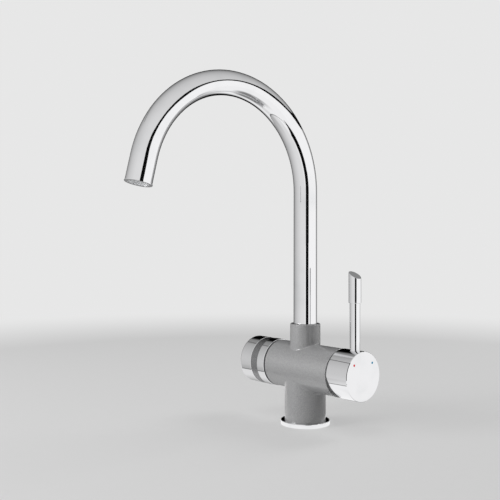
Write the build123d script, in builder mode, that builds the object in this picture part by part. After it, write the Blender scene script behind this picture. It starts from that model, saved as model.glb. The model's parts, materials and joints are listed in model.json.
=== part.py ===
"""Drinking water filter tap: a kitchen mixer with a second valve and a separate way for filtered water.

Millimetres. The origin is the centre of the foot's underside, +Z is up, the mixer lever is on the +X side,
the filter knob on the -X side, and the spout reaches towards -Y.
"""

import os
from math import cos, hypot, radians, sin, tan

from build123d import *

# Fits
slip_fit = 0.1                  # between pieces that are pushed together by hand
shaft_fit = 0.08                # between a shaft and its bore
moving_gap = 0.3                # between other faces that pass each other
seal_gap = 0.05                 # between a seal ring and what turns in it
overrun = 1.0                   # of a cut past the face that it opens
hexagon_sides = 6

# Casting
axis_height = 57.7              # of the axis that both valves share
casting_wall = 4.65             # round the cartridge nut's thread
column_step = 2.7               # from the crosswise body's radius down to the column's
collar_wall = 2.15              # round the bearing ring
mouth_recess = 0.7              # of the bearing ring in the collar's mouth
column_union_radius = 3.0
collar_union_radius = 2.0
collar_edge_radius = 0.9
body_edge_chamfer = 0.4

# Base ring
base_diameter = 50.0
base_height = 4.3
base_ring_width = 6.4
base_edge_radius = 0.7
gasket_inset = 1.5
gasket_width = 3.0
gasket_height = 1.6

# Holes in the foot, and the ways for the water
inlet_radius = 4.5              # wall of an M10 x 1 thread
inlet_depth = 12.0
supply_x = 7.6                  # of the hot, cold and mixed risers
supply_spread = 8.0             # of the hot and cold inlets to each side
supply_inset = 5.5              # of the risers behind the cartridge's seat
supply_radius = 3.0
mixed_radius = 2.8
filter_inlet_x = -10.5
filter_way_radius = 2.5
filter_way_rise = 15.8          # of the filtered water's way above the valves' axis
filter_exit_inset = 11.0        # of the filter valve's exit from the casting's filter end
stud_radius = 3.4               # wall of an M8 thread
stud_depth = 14.0
stud_spacing = 25.0
stud_x = -2.0

# Spout
spout_diameter = 24.0
spout_wall = 1.0
riser_length = 134.5            # from the collar's top to the bend
bend_radius = 100.0
bend_angle = 166.4
end_straight = 24.3
filter_tube_diameter = 8.0
filter_tube_wall = 1.0

# Spigot that the spout turns on, from its lower end up
spigot_floor_gap = 3.5          # above the floor of the collar's bore
spigot_gap = 0.2                # to the collar's bore
spigot_end_land = 0.9
slide_ring_height = 2.0
slide_ring_thickness = 1.4
groove_land = 1.1
seal_groove_height = 2.4
seal_ring_height = 2.2
seal_ring_thickness = 2.1
locking_land = 2.1
locking_groove_height = 3.2
locking_groove_depth = 1.7
spigot_top_land = 1.2
spigot_neck_length = 9.0
nipple_length = 9.0
water_hole_radius = 1.7
water_hole_count = 6
bearing_ring_height = 2.2
bearing_ring_width = 1.22

# Screw at the collar's back, whose point keeps the spigot in
locking_screw_radius = 2.0
locking_screw_inset = 0.35
locking_screw_key = 2.0         # across the flats of its socket
locking_key_depth = 2.0
locking_point_radius = 1.25
locking_point_length = 0.8

# Centre pipe, which carries the filtered water up into the spigot
pipe_radius = 3.5
pipe_wall = 1.3
pipe_root = 3.0
pipe_flange_radius = 4.8
pipe_flange_height = 1.5
pipe_bore_depth = 12.5
pipe_end_gap = 2.0              # from the pipe's top to the end of its bore in the spigot
pipe_seal_rise = 4.0
pipe_seal_height = 1.8
pipe_seal_thickness = 1.15

# Outlet and aerator, from the outlet's face inwards
outlet_rim = 0.45               # of the bush outside the tube
outlet_flange = 0.8
outlet_bush_wall = 1.75
outlet_recess_step = 0.55       # of the recess outside the aerator's thread
outlet_shoulder_step = 0.95     # of the shoulder inside the thread
outlet_shoulder_length = 3.5
aerator_place = 0.9
aerator_rim_thickness = 1.1
aerator_wall = 1.65
aerator_seal_width = 3.0
aerator_seal_height = 1.3
insert_recess = 0.6
insert_thickness = 1.5
insert_row_counts = (14, 18, 24)
insert_hole_radius = 0.4
screen_gap = 0.4
screen_thickness = 0.4
screen_hole_radius = 0.32
nozzle_radius = 2.75
nozzle_wall = 0.75
nozzle_stand = 0.3              # out of the insert
nozzle_flange_gap = 0.8
nozzle_flange_thickness = 1.6
nozzle_flange_hole_radius = 1.1
nozzle_flange_hole_count = 8
barb_length = 7.0
barb_gap = 1.0                  # between the bush and the filtered water's tube

# Mixing cartridge, from its seat outwards
cartridge_diameter = 35.0
cartridge_wall = 1.3
port_seal_height = 1.0
port_seal_width = 1.3
port_seal_stand = 0.3           # of the seals out of the cartridge's foot
cartridge_foot_length = 5.2
fixed_disc_thickness = 4.0
fixed_disc_inset = 2.9
moving_disc_thickness = 3.0
carrier_length = 7.1
carrier_floor = 2.3
rotor_flange_length = 3.1
shoulder_length = 2.6
neck_length = 8.0
neck_recess = 3.4               # of the neck's end behind the casting's end
neck_diameter = 26.0
neck_wall = 2.4
port_radius = 3.0
port_inset = 6.6                # of the ports' circle from the fixed disc's edge
port_angles = (30, 150, 270)    # of the cold, hot and mixed ports
lug_radius = 1.5
lug_length = 2.0
lug_inset = 3.0
lug_angles = (0, 180)
mixing_pocket_width = 15.0
mixing_pocket_height = 9.6
mixing_pocket_drop = 5.3
mixing_pocket_depth = 1.5
nut_step = 1.5                  # of its M38 x 1.5 thread outside the cartridge
nut_front_step = 1.0
nut_stand = 2.0                 # out of the casting's end
nut_notch_width = 4.0
nut_notch_depth = 1.6
nut_notch_count = 6
dome_clearance = 0.15           # to the nut's corner
dome_wall = 1.3
dome_length = 4.6

# Cartridge stem
pivot_inset = 3.0               # of the tilt axis behind the neck's end
stem_width = 8.0
stem_shank_width = 4.8
stem_boss_radius = 4.2
stem_ball_radius = 3.0
stem_ball_gap = 0.6             # from the ball to the floor of its pocket
stem_reach = 25.0               # from the tilt axis to the outer end
stem_slot_reach = 8.3           # of the rotor's slot to each side
stem_pin_radius = 1.5

# Mixer cap
cap_clearance = 0.64            # round the dome
cap_length = 25.9
cap_gap = 1.6                   # between the casting's end and the cap's rim
cap_wall = 2.0
cap_end_thickness = 2.9
cap_edge_chamfer = 0.4
tilt_range = 18.0
tilt_margin = 2.5
hub_radius = 8.5
hub_length = 16.5
stem_boss_gap = 1.0             # from the stem's socket to the bosses in the hub
cap_screw_radius = 2.5
cap_screw_length = 7.0
cap_screw_boss_radius = 4.0
cap_screw_boss_drop = 3.0       # below the hub
cap_screw_inset = 3.0           # from the stem's end
cap_screw_key = 2.5             # across the flats of its socket
plug_radius = 2.6
plug_thickness = 1.5
mark_diameter = 1.9
mark_spread = 13.0
mark_rise = 12.0
mark_depth = 0.5
mark_stand = 0.05

# Lever
lever_inset = 10.5              # of the lever's axis from the cap's end face
lever_foot_diameter = 9.6
lever_neck_diameter = 10.1
lever_length = 45.4
lever_seat_depth = 0.5
lever_boss_radius = 6.5
lever_thread_radius = 3.0
lever_thread_length = 10.0
lever_tenon_radius = 3.5
lever_tenon_length = 14.0
sleeve_diameter = 12.1
sleeve_length = 30.7
sleeve_tip_drop = 7.2
sleeve_edge_radius = 0.5

# Filter valve, from its seat outwards
filter_seat_u = 16.0            # from the column's axis
filter_thread_radius = 10.4     # of the G 1/2 thread
filter_thread_length = 5.5
filter_counterbore_depth = 4.0
filter_counterbore_room = 1.15  # round the corners of the hexagon
filter_flange_across = 24.0     # the flats of its hexagon
filter_flange_length = 4.0
filter_flange_seal_height = 1.0
filter_flange_seal_width = 2.6
filter_neck_radius = 7.0
filter_neck_length = 8.0
filter_sleeve_length = 10.1
filter_sleeve_step = 0.8        # of the sleeve inside the thread
filter_sleeve_wall = 1.2
filter_seat_seal_height = 1.4
filter_seat_seal_width = 1.4
filter_seat_seal_inset = 1.0
filter_seat_radius = 4.0
filter_disc_thickness = 3.0
filter_disc_hole_radius = 2.4
filter_disc_circle_radius = 4.6
filter_disc_hole_count = 2
filter_turn = 90                # of the moving disc from closed to open
drum_length = 5.6
drum_slot_width = 6.0
drum_slot_depth = 3.6
window_length = 3.6
spindle_bore_radius = 5.0
spindle_seal_places = (0.5, 4.5)    # from the valve's flange
spindle_seal_height = 1.8
spindle_seal_thickness = 1.2
spline_radius = 4.0
spline_length = 11.7
spline_groove_radius = 0.35
spline_count = 20
clip_thickness = 0.8
clip_stand = 1.28               # outside the spindle
clip_depth = 0.8
clip_opening = 4.0
clip_land = 0.5

# Filter knob
knob_diameter = 48.9
knob_gap = 1.3                  # between the casting's end and the knob's rim
knob_front_length = 10.3        # of the bright ring next to the casting
grip_length = 9.8
grip_step = 0.25                # of the grip below the bright pieces
cover_length = 17.3
cover_wall = 2.4
cover_end_thickness = 3.0
cover_end_radius = 2.0
knob_edge_chamfer = 0.3
knob_core_wall = 1.8
knob_core_gap = 1.7             # between the core's end and the cover's
knob_hub_radius = 8.0
knob_hub_gap = 0.7              # between the spindle's end and the hub
knob_web_thickness = 4.0
knob_screw_radius = 2.0
knob_screw_length = 14.0
knob_screw_head_radius = 3.5
knob_screw_head_height = 2.6
knob_screw_key = 3.0            # across the flats of its socket

# Places along the valves' axis on the mixer side, from the column's axis outwards
seat_x = supply_x + supply_inset
cartridge_foot_x = seat_x + port_seal_stand
fixed_disc_x = cartridge_foot_x + cartridge_foot_length
moving_disc_x = fixed_disc_x + fixed_disc_thickness
chamber_x = moving_disc_x - moving_gap
carrier_x = moving_disc_x + moving_disc_thickness
rotor_x = carrier_x + carrier_length + moving_gap
chamber_end_x = rotor_x + rotor_flange_length + moving_gap
shoulder_x = chamber_end_x + shoulder_length
neck_end_x = shoulder_x + neck_length
body_right = neck_end_x + neck_recess
pivot_x = neck_end_x - pivot_inset
stem_ball_x = carrier_x + carrier_floor + stem_ball_gap + stem_ball_radius
stem_ball_arm = pivot_x - stem_ball_x
stem_end_x = pivot_x + stem_reach
rim_x = body_right + cap_gap
cap_end_x = rim_x + cap_length
cap_floor_x = cap_end_x - cap_end_thickness
hub_x = cap_floor_x - hub_length
mark_x = cap_end_x - mark_depth
cap_screw_x = stem_end_x - cap_screw_inset
lever_x = cap_end_x - lever_inset

# Places along that axis on the filter side, as distances from the column's axis
sleeve_u = filter_seat_u + filter_seat_seal_height
filter_moving_disc_u = sleeve_u + filter_disc_thickness
drum_u = filter_moving_disc_u + filter_disc_thickness
drum_end_u = drum_u + drum_length
thread_u = sleeve_u + filter_sleeve_length
flange_u = thread_u + filter_thread_length
counterbore_u = flange_u - filter_flange_seal_height
body_left = counterbore_u + filter_counterbore_depth
valve_end_u = flange_u + filter_flange_length + filter_neck_length
clip_u = valve_end_u + slip_fit
shaft_end_u = clip_u + clip_thickness + clip_land
knob_u = body_left + knob_gap
grip_u = knob_u + knob_front_length
cover_u = grip_u + grip_length
knob_end_u = cover_u + cover_length
knob_core_end_u = knob_end_u - cover_end_thickness - knob_core_gap
knob_hub_u = shaft_end_u + knob_hub_gap
knob_web_u = knob_hub_u + spline_length + slip_fit
knob_screw_head_u = knob_web_u + knob_web_thickness
knob_screw_u = knob_screw_head_u - knob_screw_length

# Places behind the outlet's face
outlet_recess_depth = aerator_place + aerator_rim_thickness
insert_place = aerator_place + insert_recess
nozzle_place = insert_place - nozzle_stand
screen_place = insert_place + insert_thickness + screen_gap
nozzle_flange_place = screen_place + screen_thickness + nozzle_flange_gap
aerator_seal_place = nozzle_flange_place + nozzle_flange_thickness
outlet_shoulder_place = aerator_seal_place + aerator_seal_height
outlet_bush_length = outlet_shoulder_place + outlet_shoulder_length
filter_tube_end = outlet_bush_length + barb_gap

# Radii of the spout, its spigot and the collar
tube_radius = spout_diameter / 2
tube_bore_radius = tube_radius - spout_wall
filter_tube_radius = filter_tube_diameter / 2
filter_tube_bore_radius = filter_tube_radius - filter_tube_wall
nipple_bore_radius = filter_tube_bore_radius - filter_tube_wall
collar_bore_radius = tube_radius + slip_fit
mouth_radius = tube_radius + shaft_fit + bearing_ring_width
collar_radius = mouth_radius + collar_wall
spigot_radius = collar_bore_radius - spigot_gap
slide_bed_radius = collar_bore_radius - shaft_fit - slide_ring_thickness
seal_bed_radius = collar_bore_radius - seal_gap - seal_ring_thickness
locking_bed_radius = spigot_radius - locking_groove_depth
pipe_bore_radius = pipe_radius + moving_gap
pipe_seal_radius = pipe_radius + seal_gap + pipe_seal_thickness
water_hole_circle_radius = (pipe_seal_radius + seal_bed_radius) / 2
outlet_radius = tube_radius + outlet_rim
outlet_thread_radius = tube_bore_radius - outlet_bush_wall
outlet_recess_radius = outlet_thread_radius + outlet_recess_step
outlet_shoulder_radius = outlet_thread_radius - outlet_shoulder_step
aerator_seat_radius = outlet_thread_radius - aerator_wall
aerator_seal_radius = outlet_thread_radius - seal_gap
insert_row_pitch = (aerator_seat_radius - nozzle_radius) / (len(insert_row_counts) + 1)

# Radii of the mixing cartridge, the casting and the cap
cartridge_radius = cartridge_diameter / 2
chamber_radius = cartridge_radius - cartridge_wall
fixed_disc_radius = cartridge_radius - fixed_disc_inset
disc_travel = stem_ball_arm * radians(tilt_range)
moving_disc_radius = chamber_radius - disc_travel - moving_gap
port_circle_radius = fixed_disc_radius - port_inset
lug_circle_radius = cartridge_radius - lug_radius - lug_inset
neck_radius = neck_diameter / 2
neck_bore_radius = neck_radius - neck_wall
rotor_radius = neck_bore_radius - moving_gap
nut_radius = cartridge_radius + nut_step
nut_front_radius = nut_radius - nut_front_step
dome_bore_radius = hypot(nut_front_radius, body_right + nut_stand - pivot_x) + dome_clearance
dome_radius = dome_bore_radius + dome_wall
body_radius = nut_radius + casting_wall
column_radius = body_radius - column_step
base_radius = base_diameter / 2
foot_radius = base_radius - base_ring_width - slip_fit
gasket_radius = base_radius - gasket_inset
cap_bore_radius = dome_radius + cap_clearance
cap_radius = cap_bore_radius + cap_wall
sleeve_radius = sleeve_diameter / 2
mark_radius = mark_diameter / 2

# Radii of the filter valve and its knob
filter_bore_radius = filter_thread_radius + seal_gap
filter_sleeve_radius = filter_thread_radius - filter_sleeve_step
filter_chamber_radius = filter_sleeve_radius - filter_sleeve_wall
filter_seat_seal_radius = filter_sleeve_radius - filter_seat_seal_inset
filter_corner_radius = filter_flange_across / 2 / cos(radians(180 / hexagon_sides))
filter_counterbore_radius = filter_corner_radius + filter_counterbore_room
flange_seal_radius = filter_thread_radius + filter_flange_seal_width
drum_radius = filter_chamber_radius - moving_gap
spindle_radius = spindle_bore_radius - shaft_fit
spindle_groove_radius = spindle_bore_radius - seal_gap - spindle_seal_thickness
knob_radius = knob_diameter / 2
knob_core_radius = knob_radius - cover_wall
knob_bore_radius = knob_core_radius - knob_core_wall

# Heights
supply_height = axis_height + port_circle_radius * sin(radians(port_angles[0]))
mixed_height = axis_height - port_circle_radius
filter_way_height = axis_height + filter_way_rise
pipe_bottom = filter_way_height + filter_way_radius
collar_floor = pipe_bottom + pipe_root
spigot_bottom = collar_floor + spigot_floor_gap
slide_groove_z = spigot_bottom + spigot_end_land
lower_seal_z = slide_groove_z + slide_ring_height + groove_land
upper_seal_z = lower_seal_z + seal_groove_height + groove_land
locking_groove_z = upper_seal_z + seal_groove_height + locking_land
locking_height = locking_groove_z + locking_groove_height / 2
spigot_top = locking_groove_z + locking_groove_height + spigot_top_land
spigot_neck_top = spigot_top + spigot_neck_length
mouth_floor = spigot_top + slip_fit
collar_height = mouth_floor + bearing_ring_height + mouth_recess
riser_height = collar_height + riser_length
pipe_seal_z = spigot_bottom + pipe_seal_rise
pipe_bore_end = spigot_bottom + pipe_bore_depth
pipe_top = pipe_bore_end - pipe_end_gap
screw_boss_z = axis_height - hub_radius - cap_screw_boss_drop
screw_z = axis_height - stem_width / 2 - slip_fit / 2 - cap_screw_length
lever_boss_z = axis_height + stem_width / 2 + stem_boss_gap
lever_foot_z = axis_height + cap_radius - lever_seat_depth
lever_thread_z = lever_foot_z - lever_thread_length
lever_top_z = axis_height + cap_radius + lever_length


def across(x):
    """The plane square to the valves' axis at a place along it, facing the mixer side."""
    return Plane(origin=(x, 0, axis_height), x_dir=(0, 1, 0), z_dir=(1, 0, 0))


def leftward(u):
    """The plane square to the valves' axis at a distance from the column's axis, facing the filter side."""
    return Plane(origin=(-u, 0, axis_height), x_dir=(0, -1, 0), z_dir=(-1, 0, 0))


def around(x, angle, radius):
    """The plane square to the valves' axis at a place beside it, such as the centre of a port."""
    plane = across(x)
    beside = Vector(radius * cos(radians(angle)), radius * sin(radians(angle)))
    plane.origin = plane.from_local_coords(beside)
    return plane


def level(z, x=0, y=0):
    """The level plane at a height, with its own centre."""
    return Plane(origin=(x, y, z), x_dir=(1, 0, 0), z_dir=(0, 0, 1))


def upright(x=0, z=0):
    """The plane through the valves' axis and the column's, seen from the spout's side."""
    return Plane(origin=(x, 0, z), x_dir=(1, 0, 0), z_dir=(0, -1, 0))


def crosswise(x, z, start):
    """The plane square to the Y axis that faces the back, at a place along it."""
    return Plane(origin=(x, start, z), x_dir=(1, 0, 0), z_dir=(0, 1, 0))


def outlet(place):
    """The plane square to the spout's end at a place behind its outlet, facing back into the spout."""
    turn = radians(bend_angle)
    ahead = Vector(0, -sin(turn), cos(turn))
    bend_end = Vector(0, bend_radius * (cos(turn) - 1), riser_height + bend_radius * sin(turn))
    return Plane(origin=bend_end + ahead * (end_straight - place), x_dir=(1, 0, 0), z_dir=ahead * -1)


def spout_route(start_height, end_place):
    """The spout's centre line: straight up, round the bend and on towards the outlet."""
    with BuildLine(Plane.YZ) as route:
        Line((0, start_height), (0, riser_height))
        bend = CenterArc((-bend_radius, riser_height), bend_radius, 0, bend_angle)
        Line(bend @ 1, outlet(end_place).origin)
    return route.wire()


def ring(plane, length, outer_radius, inner_radius=0, mode=Mode.ADD):
    """A disc that stands on a plane, or a ring where it has an inner radius."""
    with BuildSketch(plane) as section:
        Circle(outer_radius)
        if inner_radius:
            Circle(inner_radius, mode=Mode.SUBTRACT)
    extrude(section.sketch, amount=length, mode=mode)


def drill(plane, length, radius):
    """A round hole from a plane."""
    ring(plane, length, radius, mode=Mode.SUBTRACT)


def groove(plane, width, shaft_radius, bed_radius):
    """A groove round a shaft, from a plane square to it."""
    ring(plane, width, shaft_radius, bed_radius, mode=Mode.SUBTRACT)


def hexagon(plane, length, across_flats, mode=Mode.ADD):
    """A hexagonal bar that stands on a plane, or the socket for a key."""
    with BuildSketch(plane) as section:
        RegularPolygon(across_flats / 2, side_count=hexagon_sides, major_radius=False)
    extrude(section.sketch, amount=length, mode=mode)


def tube_along(route, start_height, outer_radius, inner_radius):
    """A tube that follows a route which starts straight up."""
    with BuildSketch(level(start_height)) as section:
        Circle(outer_radius)
        Circle(inner_radius, mode=Mode.SUBTRACT)
    sweep(section.sketch, path=route)


def unions(piece, lowest, highest, reach):
    """The edges where a cylinder of the casting meets another, between two heights."""
    found = []
    for edge in piece.edges():
        box = edge.bounding_box()
        curved = edge.geom_type not in (GeomType.CIRCLE, GeomType.LINE)
        if curved and lowest < box.min.Z and box.max.Z < highest and box.max.X < reach:
            found.append(edge)
    return found


def finish(piece, name):
    """Label a finished piece and write it."""
    piece.part.label = name
    export_step(piece.part, f"parts/{name}.step")


os.makedirs("parts", exist_ok=True)

# Body
with BuildPart() as body_casting:
    ring(level(0), base_height, foot_radius)
    ring(level(base_height), axis_height - base_height, column_radius)
    ring(across(-body_left), body_left + body_right, body_radius)
    fillet(unions(body_casting, base_height, axis_height, body_right), radius=column_union_radius)
    ring(level(axis_height), collar_height - axis_height, collar_radius)
    fillet(unions(body_casting, axis_height, collar_height, body_right), radius=collar_union_radius)
    fillet(body_casting.faces().sort_by(Axis.Z)[-1].edges(), radius=collar_edge_radius)
    ends = body_casting.faces().filter_by(Axis.X)
    chamfer(ends.edges(), length=body_edge_chamfer)
    # Cartridge bore, the nut's thread, and the ports and lug holes in the floor
    drill(across(seat_x), body_right - seat_x + overrun, cartridge_radius + slip_fit)
    drill(across(shoulder_x), body_right - shoulder_x + overrun, nut_radius)
    for angle in port_angles:
        drill(around(supply_x, angle, port_circle_radius), seat_x - supply_x, port_radius)
    for angle in lug_angles:
        drill(around(seat_x - lug_length, angle, lug_circle_radius), lug_length, lug_radius + slip_fit)
    # Hot and cold ways from the foot, the mixed water's way up to the collar, and the stud holes
    for side in (-1, 1):
        drill(level(0, supply_x, side * supply_spread), inlet_depth, inlet_radius)
        drill(level(0, supply_x, side * supply_spread), supply_height, supply_radius)
        drill(level(0, stud_x, side * stud_spacing / 2), stud_depth, stud_radius)
    drill(level(mixed_height, supply_x), collar_floor - mixed_height, mixed_radius)
    # Filter valve's bore, and the filtered water's way through it to the centre pipe
    drill(leftward(counterbore_u), filter_counterbore_depth + overrun, filter_counterbore_radius)
    drill(leftward(filter_seat_u), body_left - filter_seat_u, filter_bore_radius)
    drill(leftward(-filter_inlet_x), filter_seat_u + filter_inlet_x, filter_seat_radius)
    drill(level(0, filter_inlet_x), inlet_depth, inlet_radius)
    drill(level(0, filter_inlet_x), axis_height, supply_radius)
    drill(level(axis_height, filter_exit_inset - body_left), filter_way_rise, filter_way_radius)
    filter_way = Plane(origin=(0, 0, filter_way_height), x_dir=(0, -1, 0), z_dir=(-1, 0, 0))
    drill(filter_way, body_left - filter_exit_inset, filter_way_radius)
    drill(level(filter_way_height), collar_floor - filter_way_height, pipe_radius)
    # Collar bore, its mouth and the locking screw's hole at the back
    drill(level(collar_floor), collar_height - collar_floor + overrun, collar_bore_radius)
    drill(level(mouth_floor), collar_height - mouth_floor + overrun, mouth_radius)
    drill(crosswise(0, locking_height, 0), collar_radius + overrun, locking_screw_radius)
finish(body_casting, "body_casting")

with BuildPart() as base_ring:
    ring(level(0), base_height, base_radius, foot_radius + slip_fit)
    top_edges = base_ring.faces().sort_by(Axis.Z)[-1].edges()
    fillet(top_edges.sort_by(SortBy.LENGTH)[-1], radius=base_edge_radius)
    ring(level(0), gasket_height, gasket_radius, gasket_radius - gasket_width, mode=Mode.SUBTRACT)
finish(base_ring, "base_ring")

with BuildPart() as base_gasket:
    ring(level(0), gasket_height, gasket_radius, gasket_radius - gasket_width)
finish(base_gasket, "base_gasket")

# Mixing cartridge: the pieces that stay still
with BuildPart() as cartridge_foot:
    ring(across(cartridge_foot_x), cartridge_foot_length, cartridge_radius)
    for angle in port_angles:
        port = around(cartridge_foot_x, angle, port_circle_radius)
        drill(port, cartridge_foot_length, port_radius)
        drill(port, port_seal_height - port_seal_stand, port_radius + port_seal_width)
    for angle in lug_angles:
        lug = around(seat_x - lug_length + slip_fit, angle, lug_circle_radius)
        ring(lug, lug_length + port_seal_stand, lug_radius)
finish(cartridge_foot, "cartridge_foot")

with BuildPart() as cartridge_port_seals:
    for angle in port_angles:
        port_seal = around(seat_x, angle, port_circle_radius)
        ring(port_seal, port_seal_height, port_radius + port_seal_width, port_radius)
finish(cartridge_port_seals, "cartridge_port_seals")

with BuildPart() as mixer_fixed_disc:
    ring(across(fixed_disc_x), fixed_disc_thickness, fixed_disc_radius)
    for angle in port_angles:
        drill(around(fixed_disc_x, angle, port_circle_radius), fixed_disc_thickness, port_radius)
finish(mixer_fixed_disc, "mixer_fixed_disc")

with BuildPart() as cartridge_housing:
    ring(across(fixed_disc_x), shoulder_x - fixed_disc_x, cartridge_radius)
    ring(across(shoulder_x), neck_length, neck_radius)
    drill(across(fixed_disc_x), fixed_disc_thickness, fixed_disc_radius)
    drill(across(chamber_x), chamber_end_x - chamber_x, chamber_radius)
    drill(across(chamber_end_x), neck_end_x - chamber_end_x, neck_bore_radius)
finish(cartridge_housing, "cartridge_housing")

with BuildPart() as cartridge_nut:
    ring(across(shoulder_x), body_right - shoulder_x, nut_radius, neck_radius + slip_fit)
    ring(across(body_right), nut_stand, nut_front_radius, neck_radius + slip_fit)
    with BuildSketch(across(body_right)) as notches:
        with PolarLocations(nut_front_radius, nut_notch_count):
            Rectangle(2 * nut_notch_depth, nut_notch_width)
    extrude(amount=nut_stand, mode=Mode.SUBTRACT)
finish(cartridge_nut, "cartridge_nut")

with BuildPart() as dome_ring:
    with Locations(across(pivot_x)):
        Sphere(dome_radius)
        Sphere(dome_bore_radius, mode=Mode.SUBTRACT)
    split(bisect_by=across(body_right), keep=Keep.TOP)
    split(bisect_by=across(body_right + dome_length), keep=Keep.BOTTOM)
finish(dome_ring, "dome_ring")

# Mixing cartridge: the rotor, which turns with the lever
with BuildPart() as cartridge_rotor:
    ring(across(rotor_x), rotor_flange_length, chamber_radius - moving_gap)
    ring(across(rotor_x), neck_end_x - rotor_x, rotor_radius)
    with BuildSketch(across(rotor_x)) as stem_slot:
        Rectangle(stem_width + 2 * moving_gap, 2 * stem_slot_reach)
    extrude(amount=neck_end_x - rotor_x, mode=Mode.SUBTRACT)
    drill(crosswise(pivot_x, axis_height, -rotor_radius), 2 * rotor_radius, stem_pin_radius)
finish(cartridge_rotor, "cartridge_rotor")

with BuildPart() as stem_pin:
    pin_reach = rotor_radius - moving_gap
    ring(crosswise(pivot_x, axis_height, -pin_reach), 2 * pin_reach, stem_pin_radius)
finish(stem_pin, "stem_pin")

# Mixing cartridge: the disc and its carrier, which the stem slides
with BuildPart() as mixer_moving_disc:
    ring(across(moving_disc_x), moving_disc_thickness, moving_disc_radius)
    with BuildSketch(across(moving_disc_x)) as mixing_pocket:
        with Locations((0, -mixing_pocket_drop)):
            SlotOverall(mixing_pocket_width, mixing_pocket_height)
    extrude(amount=mixing_pocket_depth, mode=Mode.SUBTRACT)
finish(mixer_moving_disc, "mixer_moving_disc")

with BuildPart() as disc_carrier:
    ring(across(carrier_x), carrier_length, moving_disc_radius)
    with BuildSketch(across(carrier_x + carrier_floor)) as ball_pocket:
        Rectangle(stem_width + 2 * moving_gap, 2 * (stem_ball_radius + moving_gap))
    extrude(amount=carrier_length - carrier_floor, mode=Mode.SUBTRACT)
finish(disc_carrier, "disc_carrier")

# Mixer lever: everything that tilts on the stem's pin
with BuildPart() as cartridge_stem:
    with BuildSketch(upright(pivot_x, axis_height)) as stem_outline:
        Circle(stem_boss_radius)
        Rectangle(stem_reach, stem_width, align=(Align.MIN, Align.CENTER))
        Rectangle(stem_ball_arm, stem_shank_width, align=(Align.MAX, Align.CENTER))
        with Locations((-stem_ball_arm, 0)):
            Circle(stem_ball_radius)
    extrude(amount=stem_width / 2, both=True)
    drill(crosswise(pivot_x, axis_height, -stem_width / 2), stem_width, stem_pin_radius + shaft_fit)
finish(cartridge_stem, "cartridge_stem")

with BuildPart() as mixer_cap:
    ring(across(rim_x), cap_length, cap_radius)
    chamfer(mixer_cap.faces().sort_by(Axis.X)[-1].edges(), length=cap_edge_chamfer)
    drill(across(rim_x), cap_floor_x - rim_x, cap_bore_radius)
    # The rim is cut back below the axis, which leaves room for the tilt
    relief_reach = cap_radius + overrun
    with BuildSketch(upright(rim_x, axis_height)) as relief:
        with BuildLine():
            Polyline(
                (-overrun, 0),
                (0, 0),
                (relief_reach * tan(radians(tilt_range + tilt_margin)), -relief_reach),
                (-overrun, -relief_reach),
                close=True,
            )
        make_face()
    extrude(amount=relief_reach, both=True, mode=Mode.SUBTRACT)
    # Hub for the stem, the lever's boss above it and the screw's boss below it
    ring(across(hub_x), hub_length, hub_radius)
    lever_boss_length = axis_height + cap_radius - cap_wall / 2 - lever_boss_z
    ring(level(lever_boss_z, lever_x), lever_boss_length, lever_boss_radius)
    screw_boss_length = axis_height - stem_width / 2 - stem_boss_gap - screw_boss_z
    ring(level(screw_boss_z, cap_screw_x), screw_boss_length, cap_screw_boss_radius)
    with BuildSketch(across(hub_x)) as socket:
        Rectangle(stem_width + slip_fit, stem_width + slip_fit)
    extrude(amount=stem_end_x + slip_fit - hub_x, mode=Mode.SUBTRACT)
    drill(level(lever_thread_z, lever_x), lever_thread_length, lever_thread_radius)
    drill(level(lever_foot_z, lever_x), lever_seat_depth + overrun, lever_foot_diameter / 2 + seal_gap)
    drill(level(screw_boss_z, cap_screw_x), axis_height - screw_boss_z, cap_screw_radius)
    drill(level(axis_height - cap_radius, cap_screw_x), cap_radius - hub_radius, plug_radius)
    with BuildSketch(across(mark_x)) as mark_seats:
        with Locations((-mark_spread, mark_rise), (mark_spread, mark_rise)):
            Circle(mark_radius)
    extrude(amount=mark_depth, mode=Mode.SUBTRACT)
finish(mixer_cap, "mixer_cap")

for name, side in (("hot_mark", -1), ("cold_mark", 1)):
    with BuildPart() as mark:
        with BuildSketch(across(mark_x)) as mark_outline:
            with Locations((side * mark_spread, mark_rise)):
                Circle(mark_radius)
        extrude(amount=mark_depth + mark_stand)
    finish(mark, name)

with BuildPart() as cap_screw:
    ring(level(screw_z, cap_screw_x), cap_screw_length, cap_screw_radius)
    hexagon(level(screw_z, cap_screw_x), cap_screw_key, cap_screw_key, mode=Mode.SUBTRACT)
finish(cap_screw, "cap_screw")

with BuildPart() as cap_plug:
    ring(level(axis_height - cap_radius + slip_fit, cap_screw_x), plug_thickness, plug_radius)
finish(cap_plug, "cap_plug")

with BuildPart() as lever_rod:
    with BuildSketch(upright(lever_x)) as rod_outline:
        with BuildLine():
            Polyline(
                (0, lever_foot_z),
                (lever_foot_diameter / 2, lever_foot_z),
                (lever_neck_diameter / 2, lever_top_z),
                (0, lever_top_z),
                close=True,
            )
        make_face()
    revolve(axis=Axis((lever_x, 0, 0), (0, 0, 1)))
    ring(level(lever_thread_z, lever_x), lever_thread_length, lever_thread_radius)
    ring(level(lever_top_z, lever_x), lever_tenon_length, lever_tenon_radius)
finish(lever_rod, "lever_rod")

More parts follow.
